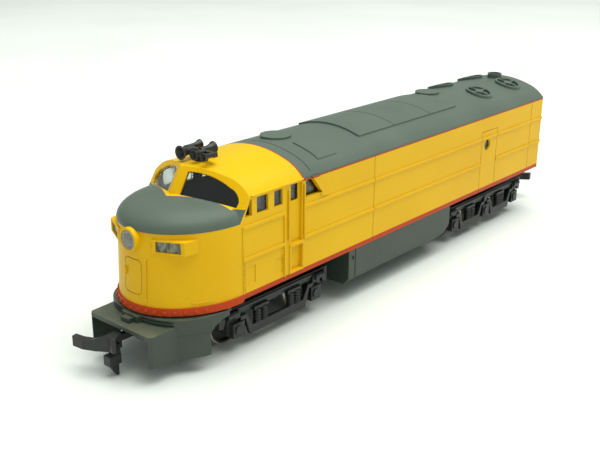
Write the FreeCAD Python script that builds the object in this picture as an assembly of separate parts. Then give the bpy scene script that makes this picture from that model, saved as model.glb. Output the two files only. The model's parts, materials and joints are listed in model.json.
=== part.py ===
import FreeCAD, Part
import math
import os

# HO scale (1:87) model of a streamlined cab diesel locomotive, in millimetres.
# Frame: +X towards the nose, +Y to the locomotive's left, +Z up. The origin is under the
# middle of the model, on the surface that the wheel flanges stand on.

V = FreeCAD.Vector

# ---- driving dimensions -------------------------------------------------------------
HALF_WIDTH = 18.2
WALL = 1.2
FIT = 0.05
REAR_X = -95.0
NOSE_X = 95.3
NOSE_CENTRE_X = 73.3
NOSE_LENGTH_BELT = 20.8
HOOD_LENGTH = 21.2
CAB_JOIN_X = 60.0
SILL_Z = 16.4
SIDE_SILL_Z = 16.95
BAND_TOP_Z = 18.4
BELT_Z = 38.3
EAVE_Z = 45.0
SHOULDER_Y = 15.6
SHOULDER_Z = 47.3
CROWN_Y = 11.0
CROWN_Z = 49.4
CREST_Z = 51.2
HOOD_RISE = 6.33
HOOD_POWER = 2.3

WINDSHIELD_FOOT = V(81.1, 0, 44.3)
WINDSHIELD_SWEEP = 30.0
WINDSHIELD_RAKE = 29.3

WINDOW_FOOT_Z = 39.6
WINDOW_TOP_Z = 44.1
CAB_WINDOWS = (
    ((69.2, WINDOW_FOOT_Z), (72.0, WINDOW_FOOT_Z), (69.7, WINDOW_TOP_Z), (69.2, WINDOW_TOP_Z)),
    ((62.9, WINDOW_FOOT_Z), (67.3, WINDOW_FOOT_Z), (67.3, WINDOW_TOP_Z), (62.9, WINDOW_TOP_Z)),
    ((57.2, WINDOW_FOOT_Z), (60.6, WINDOW_FOOT_Z), (60.6, WINDOW_TOP_Z), (57.2, WINDOW_TOP_Z)),
    ((50.1, 39.3), (53.4, 39.3), (53.4, 43.9), (50.1, 43.9)),
    ((47.7, 39.2), (40.6, 39.2), (44.6, WINDOW_TOP_Z), (47.7, WINDOW_TOP_Z)),
)
PORTHOLE = (-53.3, 34.1, 2.0)
HEADLIGHT_Z = 35.8
HEADLIGHT_X = 95.7
HEADLIGHT_R = 3.2
HEADLIGHT_BORE_R = 1.9
LENS_SEAT_X = 95.0
LENS_R = 2.6
LAMP_X = 82.0
BULB_R = 1.5
BOARD_Z = (33.2, 36.8)
BOARD_FACE = ((93.4, 6.5), (89.5, 14.4))
BOARD_WINDOW = (3.4, 1.45)
DOOR_HALF = 3.0
DOOR_Z = (21.3, 30.4)
DOOR_CORNER = 1.2
GROOVE = 0.3
HORN_X = 69.4
HORN_Z = 53.6
HORNS = (
    (-2.7, 5.0, 2.0, 1), (1.3, 4.1, 1.5, 1), (5.0, 4.1, 1.2, 1),
    (-5.5, 4.9, 1.4, -1), (-0.3, 4.9, 1.75, -1),
)
NOSE_POST = (84.0, 8.0)
TAIL_POST_X = -90.5
POST_R = 2.0
SCREW_R = 0.8

ROOF_FANS = ((-62.4, 8.3), (-84.0, 8.3), (-62.4, -8.3), (-84.0, -8.3))
FAN_R = 4.8
ROOF_VENTS = ((37.3, -2.25, 51.75, 4.67), (-45.0, -3.0, 51.9, 4.3), (-88.5, 0.0, 52.9, 2.7))

FRONT_TRUCK_X = 55.5
REAR_TRUCK_X = -61.5
FRONT_AXLES = (-16.35, 16.35)
REAR_AXLES = (-22.0, 0.0, 22.0)
FRONT_TRUCK_HALF = 22.7
REAR_TRUCK_HALF = 28.0
AXLE_Z = 6.75
TREAD_R = 5.85
FLANGE_R = 6.75
AXLE_R = 1.0
JOURNAL_R = 0.7
WHEEL_BACK_Y = 7.2
WHEEL_FACE_Y = 10.0
SIDEFRAME_Y = 12.6
TRUCK_TOP_Z = 13.2

FLOOR_THICK = 2.0
FLOOR_TOP_Z = SILL_Z + FLOOR_THICK
TURN_R = 13.0

TANK_X0 = -30.7
TANK_X1 = 26.7
TANK_BOTTOM_Z = 5.5

PILOT_X = 100.2
PILOT_HALF = 12.1
PILOT_TOP_Z = 13.8
PILOT_BOTTOM_Z = 5.1
APRON_LENGTH = 22.2
APRON_TOP_Z = 15.8
APRON_POWER = 2.6

COUPLER_PIVOT = 91.5
COUPLER_Z = 10.4
COUPLER_TIP = 107.5
POCKET_X0 = COUPLER_PIVOT - 3.1
POCKET_X1 = COUPLER_PIVOT + 3.9
POCKET_HALF = 3.6

MODULE = 0.4
GEAR_Y0 = 2.3
GEAR_Y1 = 4.1
PINION_Y0 = 4.4
PINION_Y1 = 5.6
AXLE_TEETH = 20
IDLER_TEETH = 21
LAST_TEETH = 16
SECOND_TEETH = 30
FIRST_TEETH = 20
PINION_TEETH = 10
SECOND_Z = 14.6
FIRST_Z = SECOND_Z + MODULE * (SECOND_TEETH + PINION_TEETH) / 2
MOTOR_Z = FIRST_Z + MODULE * (FIRST_TEETH + PINION_TEETH) / 2
IDLER_DROP_DEG = 35.0
GEAR_PIN_R = 0.75
BLOCK_RIGHT_Y = -6.4
BLOCK_LEFT_Y = 2.0
COVER_Y0 = 5.9
COVER_Y1 = 6.8

MOTOR_R = 9.9
POLES = 3


# ---- helpers ------------------------------------------------------------------------
def box(x0, x1, y0, y1, z0, z1):
    return Part.makeBox(x1 - x0, y1 - y0, z1 - z0, V(x0, y0, z0))


def rod_x(x0, x1, y, z, radius):
    return Part.makeCylinder(radius, x1 - x0, V(x0, y, z), V(1, 0, 0))


def rod_y(x, y0, y1, z, radius):
    return Part.makeCylinder(radius, y1 - y0, V(x, y0, z), V(0, 1, 0))


def rod_z(x, y, z0, z1, radius):
    return Part.makeCylinder(radius, z1 - z0, V(x, y, z0), V(0, 0, 1))


def closed_face(points):
    return Part.Face(Part.makePolygon(list(points) + [points[0]]))


def plan_prism(outline, z0, z1):
    return closed_face([V(x, y, z0) for x, y in outline]).extrude(V(0, 0, z1 - z0))


def side_prism(outline, y0, y1):
    return closed_face([V(x, y0, z) for x, z in outline]).extrude(V(0, y1 - y0, 0))


def end_prism(outline, x0, x1):
    return closed_face([V(x0, y, z) for y, z in outline]).extrude(V(x1 - x0, 0, 0))


def turned(profile, centre, axis):
    """A turned solid: profile is (radius, along) pairs about an axis through centre."""
    along = V(*axis)
    across = V(0, 0, 1) if abs(along.z) < 0.5 else V(1, 0, 0)
    points = [centre + across * radius + along * distance for radius, distance in profile]
    return closed_face(points).revolve(centre, along, 360)


def joined(shapes):
    return shapes[0].fuse(list(shapes[1:])).removeSplitter()


def other_side(shape):
    return shape.mirror(V(0, 0, 0), V(0, 1, 0))


def both_sides(shapes):
    return list(shapes) + [other_side(shape) for shape in shapes]


def at_truck(shape, centre_x):
    return shape.translated(V(centre_x, 0, 0))


def turned_about(shape, degrees):
    return shape.rotated(V(0, 0, 0), V(0, 0, 1), degrees)


def save(name, shape):
    shape.exportStep("parts/" + name + ".step")
    print(name, len(shape.Solids), shape.isValid(), round(shape.Volume, 1))


# ---- body surfaces ------------------------------------------------------------------
def body_section(x, inset):
    """Closed cross-section of the car body at x, moved inwards by inset."""
    half = HALF_WIDTH - inset
    foot = V(x, half, SILL_Z)
    eave = V(x, half, EAVE_Z - 0.35 * inset)
    shoulder = V(x, SHOULDER_Y - 0.7 * inset, SHOULDER_Z - 0.72 * inset)
    crown = V(x, CROWN_Y - 0.25 * inset, CROWN_Z - inset)
    crest = V(x, 0, CREST_Z - inset)

    def left(point):
        return V(point.x, -point.y, point.z)

    edges = [
        Part.LineSegment(foot, eave).toShape(),
        Part.Arc(eave, shoulder, crown).toShape(),
        Part.Arc(crown, crest, left(crown)).toShape(),
        Part.Arc(left(crown), left(shoulder), left(eave)).toShape(),
        Part.LineSegment(left(eave), left(foot)).toShape(),
        Part.LineSegment(left(foot), foot).toShape(),
    ]
    return Part.Wire(edges)


def body_prism(x0, x1, inset):
    return Part.Face(body_section(x0, inset)).extrude(V(x1 - x0, 0, 0))


def nose_outline(z, length, half, back_x=CAB_JOIN_X):
    """Plan outline of the nose at height z: a half ellipse with straight sides behind it."""
    ellipse = Part.Ellipse(V(NOSE_CENTRE_X, 0, z), length, half)
    curve = Part.ArcOfEllipse(ellipse, -math.pi / 2, math.pi / 2).toShape()
    side = V(NOSE_CENTRE_X, half, z)
    rear = V(back_x, half, z)
    edges = [
        Part.LineSegment(V(back_x, -half, z), V(NOSE_CENTRE_X, -half, z)).toShape(),
        curve,
        Part.LineSegment(side, rear).toShape(),
        Part.LineSegment(rear, V(back_x, -half, z)).toShape(),
    ]
    return Part.Wire(edges)


def nose_prism(z0, z1, length, half, back_x=CAB_JOIN_X):
    return Part.Face(nose_outline(z0, length, half, back_x)).extrude(V(0, 0, z1 - z0))


def nose_solid(inset):
    foot_length = NOSE_X - NOSE_CENTRE_X - inset
    wires = [
        nose_outline(SILL_Z, foot_length, HALF_WIDTH - inset),
        nose_outline(BELT_Z, NOSE_LENGTH_BELT - inset, HALF_WIDTH - inset),
    ]
    return Part.makeLoft(wires, True, True)


def hood_solid(base_length, inset):
    """Rounded hood above the nose: ellipses that shrink as they rise."""
    rise = HOOD_RISE - inset
    wires = []
    for share in (0.0, 0.2, 0.4, 0.55, 0.7, 0.8, 0.88, 0.94, 0.98, 0.995):
        size = (1 - share ** HOOD_POWER) ** (1 / HOOD_POWER)
        length = (base_length - inset) * size
        half = (HALF_WIDTH - inset) * size
        wires.append(nose_outline(BELT_Z + rise * share, length, half, CAB_JOIN_X + 2))
    side = HALF_WIDTH - inset - 0.05
    return Part.makeLoft(wires, True, False).common(box(CAB_JOIN_X, 100, -side, side, 30, 50))


def windshield_axes():
    sweep = math.radians(WINDSHIELD_SWEEP)
    rake = math.radians(WINDSHIELD_RAKE)
    out = V(math.cos(rake) * math.cos(sweep), math.cos(rake) * math.sin(sweep), math.sin(rake))
    across = V(-math.sin(sweep), math.cos(sweep), 0)
    return out, across, out.cross(across)


def in_front_of_windshield(inset):
    """The space in front of the left windshield plane, moved inwards by inset."""
    out, across, up = windshield_axes()
    foot = WINDSHIELD_FOOT - out * inset
    corners = [foot + across * a + up * b for a, b in ((-60, -60), (60, -60), (60, 60), (-60, 60))]
    return closed_face(corners).extrude(out * 60)


def cab_front(inset):
    """The cab ahead of the join, cut back to the two windshield planes."""
    length = NOSE_LENGTH_BELT - inset
    solid = body_prism(CAB_JOIN_X, WINDSHIELD_FOOT.x, inset)
    solid = solid.common(nose_prism(BELT_Z, 60, length, HALF_WIDTH - inset))
    plane = in_front_of_windshield(inset)
    return solid.cut([plane, other_side(plane)])


def pane_outline(scale, depth):
    """Outline of the left windshield pane on its own plane, at a depth behind it."""
    out, across, up = windshield_axes()
    middle = (10.6, 1.6)

    def place(a, b):
        a = middle[0] + (a - middle[0]) * scale
        b = middle[1] + (b - middle[1]) * scale
        return WINDSHIELD_FOOT - out * depth + across * a + up * b

    edges = [
        Part.LineSegment(place(2.7, 0.1), place(4.3, 6.4)).toShape(),
        Part.Arc(place(4.3, 6.4), place(10.6, 5.5), place(15.9, 2.8)).toShape(),
        Part.Arc(place(15.9, 2.8), place(18.0, 1.1), place(18.7, -1.0)).toShape(),
        Part.LineSegment(place(18.7, -1.0), place(18.2, -2.4)).toShape(),
        Part.LineSegment(place(18.2, -2.4), place(2.7, 0.1)).toShape(),
    ]
    return Part.Wire(edges)


def pane(scale, front, back):
    out = windshield_axes()[0]
    return Part.Face(pane_outline(scale, front)).extrude(out * (front - back))


# ---- body shell ---------------------------------------------------------------------
def raised_on_roof(x0, x1, y0, y1, height):
    return body_prism(x0, x1, -height).common(box(x0, x1, y0, y1, 46, 60))


def roof_groove(x0, x1, y0, y1, depth):
    return box(x0, x1, y0, y1, 46, 60).cut(body_prism(x0 - 1, x1 + 1, depth))


def number_housing():
    (x0, y0), (x1, y1) = BOARD_FACE
    outline = ((x0, y0), (x1, y1), (85.6, 15.3), (80, 9), (86, 4.6), (91.8, 5.0))
    return plan_prism(outline, *BOARD_Z)


def number_window(gap, front, back):
    """A rectangular plug square to the number board's face, smaller than its window by gap."""
    half_long, half_high = (size - gap for size in BOARD_WINDOW)
    (x0, y0), (x1, y1) = BOARD_FACE
    along = V(x1 - x0, y1 - y0, 0)
    along.normalize()
    out = V(along.y, -along.x, 0)
    centre = V((x0 + x1) / 2, (y0 + y1) / 2, (BOARD_Z[0] + BOARD_Z[1]) / 2) - out * front
    corners = [
        centre + along * a + V(0, 0, b)
        for a, b in (
            (-half_long, -half_high), (half_long, -half_high),
            (half_long, half_high), (-half_long, half_high),
        )
    ]
    return closed_face(corners).extrude(out * (front - back))


def side_details():
    """Battens, rails and the cab door's step box on the left side."""
    skin = HALF_WIDTH - 0.4
    proud = HALF_WIDTH + 0.4
    details = [
        box(56.4, 72.9, skin, proud, 36.5, 37.4),
        box(56.4, 72.9, skin, proud, 27.6, 28.5),
        box(56.4, 56.8, skin, proud, 18.4, 37.4),
        box(72.6, 72.9, skin, HALF_WIDTH + 0.25, 18.4, 37.4),
        box(REAR_X, 48.4, skin, proud, 36.4, 37.3),
        box(REAR_X, -60.1, skin, proud, 27.2, 28.1),
        box(-49.3, 48.4, skin, proud, 27.2, 28.1),
        box(48.4, 69.4, skin, HALF_WIDTH + 0.45, 44.7, 45.1),
        box(48.6, 54.6, HALF_WIDTH - 1.1, HALF_WIDTH + 0.5, 26.4, 27.2),
        box(48.6, 49.2, HALF_WIDTH - 1.1, HALF_WIDTH + 0.4, 18.6, 26.4),
        box(54.0, 54.6, HALF_WIDTH - 1.1, HALF_WIDTH + 0.4, 18.6, 26.4),
        box(48.6, 54.6, HALF_WIDTH - 1.1, HALF_WIDTH + 0.3, 18.4, 19.1),
        side_prism(((40.8, 38.2), (38.0, 38.2), (42.4, 44.7), (45.2, 44.7)), skin, proud),
    ]
    for rail_x in (48.4, 54.9):
        details.append(rod_z(rail_x, HALF_WIDTH + 0.35, 28.6, 43.4, 0.28))
        for foot_z in (28.6, 36.0, 43.1):
            details.append(rod_y(rail_x, skin, HALF_WIDTH + 0.35, foot_z, 0.25))
    details.append(rod_y(52.96, HALF_WIDTH - 1.1, HALF_WIDTH - 0.1, 37.4, 0.35))
    for row_x in (57.4, 72.15):
        for step in range(8):
            details.append(rod_y(row_x, skin, HALF_WIDTH + 0.3, 19.3 + step * 1.05, 0.3))
    return details


def side_recesses():
    """Doors, seams and windows cut into the left side."""
    near = HALF_WIDTH - 0.8
    far = HALF_WIDTH + 1
    cuts = [side_prism(window, 14, far) for window in CAB_WINDOWS]
    cuts.append(rod_y(PORTHOLE[0], 14, far, PORTHOLE[1], PORTHOLE[2]))
    cuts.append(box(49.2, 54.0, near, far, 27.2, 44.3))
    cuts.append(box(49.2, 54.0, near, far, 19.1, 26.4))
    seam = HALF_WIDTH - 0.2
    for seam_x in (15.3, -86.1):
        cuts.append(box(seam_x - 0.15, seam_x + 0.15, seam, far, BAND_TOP_Z, EAVE_Z - 0.6))
    for seam_x in (-60.1, -49.3):
        cuts.append(box(seam_x - 0.15, seam_x + 0.15, seam, far, BAND_TOP_Z, 39.4))
    cuts.append(box(-60.1, -49.3, seam, far, 39.1, 39.4))
    cuts.append(box(68.1, 71.3, seam, far, 20.5, 25.6))
    cuts.append(box(57.3, 60.3, seam, far, 20.0, 24.6))
    return cuts


def roof_fan(x, y):
    """A low ring and bars round a hub, following the curve of the roof."""
    ring = rod_z(x, y, 46, 60, FAN_R).cut(rod_z(x, y, 45, 61, FAN_R - 0.8))
    bars = [box(x - FAN_R + 0.5, x + FAN_R - 0.5, y - 0.3, y + 0.3, 46, 60)]
    bars.append(box(x - 0.3, x + 0.3, y - FAN_R + 0.5, y + FAN_R - 0.5, 46, 60))
    fan = joined([ring, rod_z(x, y, 46, 60, 1.5)] + bars)
    return fan.common(body_prism(x - FAN_R - 1, x + FAN_R + 1, -0.9))


def roof_details():
    details = [
        raised_on_roof(-40.0, 15.5, -12.0, 12.0, 0.5),
        raised_on_roof(30.5, 38.8, 5.8, 15.2, 0.3),
    ]
    details += [rod_z(x, y, 49.0, top, radius) for x, y, top, radius in ROOF_VENTS]
    details += [roof_fan(x, y) for x, y in ROOF_FANS]
    return details


def roof_grooves():
    cuts = [
        roof_groove(44.4, 44.7, -18, 18, 0.2),
        roof_groove(-3.2, -2.9, -12, 12, -0.3),
        roof_groove(-24.2, -23.9, -12, 12, -0.3),
    ]
    cuts.append(rod_z(-88.5, 0, 52.0, 53.0, 2.0))
    return cuts


def door_plug(grow):
    """Round-cornered block through the nose door, grown outwards all round."""
    plug = box(86, 97, -DOOR_HALF - grow, DOOR_HALF + grow, DOOR_Z[0] - grow, DOOR_Z[1] + grow)
    corners = [edge for edge in plug.Edges if abs(edge.tangentAt(0).x) > 0.9]
    return plug.makeFillet(DOOR_CORNER + grow, corners)


def nose_door_groove():
    """A shallow outline around the nose door, cut square to the front."""
    return door_plug(GROOVE).cut([door_plug(0), nose_solid(0.2)])


def body_shell():
    band = nose_prism(SILL_Z, BAND_TOP_Z, NOSE_X - NOSE_CENTRE_X + 0.4, HALF_WIDTH + 0.4)
    band = band.common(box(NOSE_CENTRE_X, 100, -20, 20, SILL_Z, BAND_TOP_Z))
    parts = [
        body_prism(REAR_X, CAB_JOIN_X, 0),
        cab_front(0),
        nose_solid(0),
        hood_solid(HOOD_LENGTH, 0),
        band,
        rod_x(86.0, HEADLIGHT_X, 0, HEADLIGHT_Z, HEADLIGHT_R),
    ]
    parts += both_sides([number_housing()])
    shell = joined(parts)
    shell = shell.fuse(both_sides(side_details()) + roof_details())

    hollow = [
        body_prism(REAR_X + WALL, CAB_JOIN_X + 0.5, WALL),
        cab_front(WALL),
        nose_solid(WALL),
        hood_solid(NOSE_LENGTH_BELT, WALL),
        box(REAR_X + WALL, CAB_JOIN_X + 0.5, -17, 17, SILL_Z - 1, SILL_Z + 1),
    ]
    shell = shell.cut(hollow)

    openings = both_sides(side_recesses() + [pane(1.0, -3, 4), number_window(0, -2, 9)])
    openings += roof_grooves()
    openings += [nose_door_groove(), rod_x(84, 97, 0, HEADLIGHT_Z, HEADLIGHT_BORE_R)]
    openings.append(rod_x(LENS_SEAT_X, 97, 0, HEADLIGHT_Z, LENS_R))
    openings += both_sides([box(REAR_X - 1, 72.5, 16.9, 19, SILL_Z - 1, SIDE_SILL_Z)])
    shell = shell.cut(openings)

    posts = []
    under_hood = hood_solid(NOSE_LENGTH_BELT, 0.5)
    for post_y in (NOSE_POST[1], -NOSE_POST[1]):
        posts.append(rod_z(NOSE_POST[0], post_y, FLOOR_TOP_Z, BELT_Z, POST_R))
        posts.append(rod_z(NOSE_POST[0], post_y, BELT_Z, 46, POST_R).common(under_hood))
    posts.append(rod_z(TAIL_POST_X, 0, FLOOR_TOP_Z, 50.6, POST_R))
    posts += nose_fittings() + rear_fittings()
    shell = shell.fuse(posts)
    return shell.cut(screw_holes(SCREW_R, FLOOR_TOP_Z - 1, 25)).removeSplitter()


def nose_fittings():
    """Rivets on the lower band, the door's handrail and a short grab iron."""
    fittings = []
    count = 17
    for index in range(count):
        angle = math.radians(-60 + 120 * index / (count - 1))
        x = NOSE_CENTRE_X + (NOSE_X - NOSE_CENTRE_X + 0.45) * math.cos(angle)
        y = (HALF_WIDTH + 0.45) * math.sin(angle)
        fittings.append(Part.makeSphere(0.45, V(x, y, 17.3)))
    strip = nose_prism(19.4, 19.9, NOSE_X - NOSE_CENTRE_X + 0.15, HALF_WIDTH + 0.2)
    strip = strip.cut(nose_prism(19, 20.5, NOSE_X - NOSE_CENTRE_X - 0.6, HALF_WIDTH - 0.6))
    fittings += both_sides([strip.common(box(82.5, 87.5, 5, 20, 19, 21))])
    low = V(94.75, 4.7, 20.2)
    high = V(94.2, 4.7, 31.0)
    fittings.append(Part.makeCylinder(0.18, (high - low).Length, low, high - low))
    for end in (low, high):
        fittings.append(rod_x(end.x - 0.9, end.x, end.y, end.z, 0.25))
        fittings.append(Part.makeSphere(0.32, end))
    fittings.append(box(93.7, 95.15, -2.6, -2.2, 25.6, 27.8))
    return fittings


def rear_fittings():
    fittings = [box(REAR_X - 0.3, REAR_X + 0.4, -5.5, 5.5, 18.4, 41.5)]
    for rail_y in (7.6, -7.6):
        fittings.append(rod_z(REAR_X - 0.5, rail_y, 22.0, 38.0, 0.3))
        for foot_z in (22.2, 37.8):
            fittings.append(rod_x(REAR_X - 0.5, REAR_X + 0.4, rail_y, foot_z, 0.25))
    return fittings


def screw_holes(radius, z0, z1):
    holes = [rod_z(NOSE_POST[0], side * NOSE_POST[1], z0, z1, radius) for side in (1, -1)]
    return holes + [rod_z(TAIL_POST_X, 0, z0, z1, radius)]


# ---- glazing, lights and horn ---------------------------------------------------------
def windshield_glazing():
    out, across, up = windshield_axes()
    front = WINDSHIELD_FOOT - out * (WALL + FIT)
    outline = ((-1.0, -1.2), (1.2, -1.2), (18.0, -3.4), (19.0, -0.6), (13.4, 5.0), (4.0, 7.2), (-1.0, 7.2))
    plate = closed_face([front + across * a + up * b for a, b in outline]).extrude(out * -0.8)
    left = plate.cut(box(60, 90, -5, 0, 30, 60)).fuse(pane(0.985, 0.5, WALL + 0.2))
    return joined([left, other_side(left)])


def side_glazing():
    """Clear strip behind the left cab windows, with a porthole pane further back."""
    near = HALF_WIDTH - WALL - FIT
    outline = ((39.6, 38.6), (72.6, 38.6), (69.6, 44.5), (42.6, 44.5))
    strip = side_prism(outline, near - 0.8, near)
    window_panes = []
    for window in CAB_WINDOWS[1:3]:
        (x0, z0), (x1, z1) = window[0], window[2]
        window_panes.append(box(x0 + FIT, x1 - FIT, near - 0.4, near + 0.6, z0 + FIT, z1 - FIT))
    porthole = rod_y(PORTHOLE[0], near - 0.8, near, PORTHOLE[1], PORTHOLE[2] + 1.2)
    porthole = porthole.fuse(rod_y(PORTHOLE[0], near - 0.4, near + 0.6, PORTHOLE[1], PORTHOLE[2] - FIT))
    return Part.makeCompound([joined([strip] + window_panes), porthole.removeSplitter()])


def headlight_lens():
    """Domed lens in the lamp's counterbore, with a stem in the bore behind it."""
    stem = rod_x(91.5, LENS_SEAT_X + 0.3, 0, HEADLIGHT_Z, HEADLIGHT_BORE_R - FIT)
    rim = rod_x(LENS_SEAT_X + FIT, 97, 0, HEADLIGHT_Z, LENS_R - FIT)
    dome = Part.makeSphere(6.0, V(HEADLIGHT_X - 5.5, 0, HEADLIGHT_Z)).common(rim)
    return joined([stem, dome])


def number_lenses():
    lens = number_window(FIT, 0.5, 2.4)
    return Part.makeCompound(both_sides([lens]))


def horn_bell(y, length, mouth_r, way):
    """A trumpet with a flared open mouth, lying along X."""
    neck_r = 0.5 * mouth_r
    profile = (
        (0.0, 0.0), (neck_r, 0.0), (1.1 * neck_r, length * 0.55), (0.72 * mouth_r, length * 0.8),
        (0.96 * mouth_r, length * 0.95), (mouth_r, length), (0.76 * mouth_r, length), (0.0, length * 0.72),
    )
    return turned(profile, V(HORN_X, y, HORN_Z), (way, 0, 0))


def horn_cluster():
    bells = [horn_bell(*horn) for horn in HORNS]
    bracket = [
        box(HORN_X - 0.7, HORN_X + 0.7, -6.2, 5.6, HORN_Z - 0.7, HORN_Z + 0.5),
        rod_z(HORN_X, 0, CREST_Z + FIT, HORN_Z - 0.4, 0.9),
        rod_z(HORN_X, 0, CREST_Z + FIT, CREST_Z + 0.6, 1.9),
    ]
    return joined(bracket + bells)


def lamp_holder():
    foot = box(LAMP_X - 6, LAMP_X + 0.8, -3.0, 3.0, FLOOR_TOP_Z, FLOOR_TOP_Z + 0.8)
    plate = box(LAMP_X, LAMP_X + 0.8, -3.0, 3.0, FLOOR_TOP_Z, HEADLIGHT_Z + 2.6)
    return joined([foot, plate]).cut(rod_x(LAMP_X - 1, LAMP_X + 2, 0, HEADLIGHT_Z, BULB_R + FIT))


def lamp_bulb():
    tip_x = LAMP_X + 5.0
    tube = rod_x(LAMP_X - 2.4, tip_x, 0, HEADLIGHT_Z, BULB_R)
    return joined([tube, Part.makeSphere(BULB_R, V(tip_x, 0, HEADLIGHT_Z))])


# ---- chassis ------------------------------------------------------------------------
def chassis_frame():
    half = HALF_WIDTH - WALL - 0.15
    deck = box(REAR_X + 1.6, NOSE_CENTRE_X, -half, half, SILL_Z, FLOOR_TOP_Z)
    tip = nose_prism(SILL_Z, FLOOR_TOP_Z, NOSE_X - NOSE_CENTRE_X - 1.6, half, NOSE_CENTRE_X - 1)
    boss = rod_z(FRONT_TRUCK_X, 0, 14.7, SILL_Z + 0.5, 4.5)
    frame = joined([deck, tip, boss])
    cuts = [
        rod_z(REAR_TRUCK_X, 0, SILL_Z - 1, FLOOR_TOP_Z + 1, TURN_R),
        rod_z(FRONT_TRUCK_X, 0, 10, 17.9, 1.5),
    ]
    cuts += screw_holes(0.9, SILL_Z - 3, FLOOR_TOP_Z + 3)
    return frame.cut(cuts)


def ballast_weight():
    block = box(-30, 34, -13, 13, FLOOR_TOP_Z, FLOOR_TOP_Z + 9)
    holes = [rod_z(x, 0, FLOOR_TOP_Z - 1, FLOOR_TOP_Z + 10, 1.6) for x in (-24, 28)]
    block = block.cut(holes)
    return block.makeChamfer(0.6, [edge for edge in block.Edges if edge.Length > 60])


def fuel_tank():
    half = HALF_WIDTH - 0.3
    low = half - 2.2
    section = (
        (-half, SILL_Z), (half, SILL_Z), (half, 7.6),
        (low, TANK_BOTTOM_Z), (-low, TANK_BOTTOM_Z), (-half, 7.6),
    )
    inner_half = half - WALL
    inner_low = low - WALL
    inside = (
        (-inner_half, SILL_Z + 1), (inner_half, SILL_Z + 1), (inner_half, 8.2),
        (inner_low, TANK_BOTTOM_Z + WALL), (-inner_low, TANK_BOTTOM_Z + WALL), (-inner_half, 8.2),
    )
    tank = end_prism(section, TANK_X0, TANK_X1)
    lip = box(TANK_X0, TANK_X1, 17.0, half, SILL_Z - 1, SIDE_SILL_Z)
    tank = tank.fuse(both_sides([lip])).removeSplitter()
    tank = tank.cut(end_prism(inside, TANK_X0 + WALL + 5, TANK_X1 - WALL))
    heel = ((TANK_X0 - 1, 11.0), (TANK_X0 - 1, 4.0), (TANK_X0 + 5.5, 4.0), (TANK_X0 + 5.5, TANK_BOTTOM_Z))
    cuts = [side_prism(heel, -20, 20)]
    for side in (1, -1):
        near, far = sorted((side * (half - 0.35), side * (half + 1)))
        cuts.append(box(TANK_X1 - 3.4, TANK_X1 - 3.0, near, far, 5, SILL_Z + 1))
        cuts.append(rod_y(TANK_X1 - 1.9, near, far, 14.2, 0.7))
    return tank.cut(cuts)


def apron_prism(z0, z1, inset):
    """Prism of the apron's boxy rounded plan, moved inwards by inset."""
    points = []
    for step in range(33):
        angle = math.pi * (step / 32 - 0.5)
        along = abs(math.cos(angle)) ** (2 / APRON_POWER)
        across = math.copysign(abs(math.sin(angle)) ** (2 / APRON_POWER), angle)
        x = NOSE_CENTRE_X + (APRON_LENGTH - inset) * along
        points.append(V(x, (HALF_WIDTH - inset) * across, z0))
    curve = Part.BSplineCurve()
    curve.interpolate(points)
    back = [V(CAB_JOIN_X, points[-1].y, z0), V(CAB_JOIN_X, points[0].y, z0)]
    edges = [
        curve.toShape(),
        Part.LineSegment(points[-1], back[0]).toShape(),
        Part.LineSegment(back[0], back[1]).toShape(),
        Part.LineSegment(back[1], points[0]).toShape(),
    ]
    return Part.Face(Part.Wire(edges)).extrude(V(0, 0, z1 - z0))


def pilot():
    """Pilot casting with a curved apron that follows the nose and a wide coupler opening."""
    front = plan_prism(
        ((80, 10.6), (90, PILOT_HALF + 0.4), (PILOT_X - 0.8, PILOT_HALF), (PILOT_X, PILOT_HALF - 0.8),
         (PILOT_X, -PILOT_HALF + 0.8), (PILOT_X - 0.8, -PILOT_HALF), (90, -PILOT_HALF - 0.4), (80, -10.6)),
        0, PILOT_TOP_Z,
    )
    front = front.cut(side_prism(((79, -1), (102, -1), (102, PILOT_BOTTOM_Z), (79, 4.3)), -20, 20))
    wheel_arch = (
        (83.8, 0), (83.8, 10.4), (82.8, 12.4), (80.6, 13.8),
        (78.0, 14.3), (78.0, 20), (110, 20), (110, 0),
    )
    rear_edge = side_prism(wheel_arch, -30, 30)
    apron = joined([
        apron_prism(4.6, 11.8, 0.3),
        apron_prism(11.8, APRON_TOP_Z, 0.0),
    ]).common(rear_edge)
    plinth = nose_prism(APRON_TOP_Z - 1.0, SILL_Z, NOSE_X - NOSE_CENTRE_X - 0.3, HALF_WIDTH - 0.8, 70)
    plinth = plinth.common(box(76.5, 110, -30, 30, 0, 30))
    pad_outline = ((92, -4.0), (96.6, -3.0), (96.6, 3.0), (92, 4.0))
    pad = plan_prism(pad_outline, PILOT_TOP_Z - 0.2, APRON_TOP_Z - 0.1)
    foothold = box(96.2, 98.1, -1.6, 1.6, PILOT_TOP_Z - 0.2, 15.1)
    body = joined([front, apron, plinth, pad, foothold])
    groove_core = apron_prism(13, 16, 0.5)
    grooves = both_sides([
        box(88, 97, 3.6, 12.0, z, z + 0.45).cut(groove_core) for z in (14.0, 14.9)
    ])
    hollow = [
        apron_prism(0, 12.6, 1.3),
        apron_prism(12.5, 14.8, 1.7),
        plan_prism(
            ((84, 9.6), (90, PILOT_HALF - 0.8), (101.5, PILOT_HALF - 1.1),
             (101.5, -PILOT_HALF + 1.1), (90, -PILOT_HALF + 0.8), (84, -9.6)),
            0, 12.7,
        ),
    ]
    return body.cut(hollow + grooves + screw_holes(0.9, 10, SILL_Z + 1))


def pan_screw(x, y, z_head, z_top, shank_r, head_r):
    """Round-headed screw pointing up, with a cross slot under its head."""
    head = rod_z(x, y, z_head, z_head + 1.1, head_r)
    shank = rod_z(x, y, z_head + 1.1, z_top, shank_r)
    slot = box(x - head_r, x + head_r, y - 0.2, y + 0.2, z_head - 0.1, z_head + 0.4)
    return joined([head, shank]).cut(slot)


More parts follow.
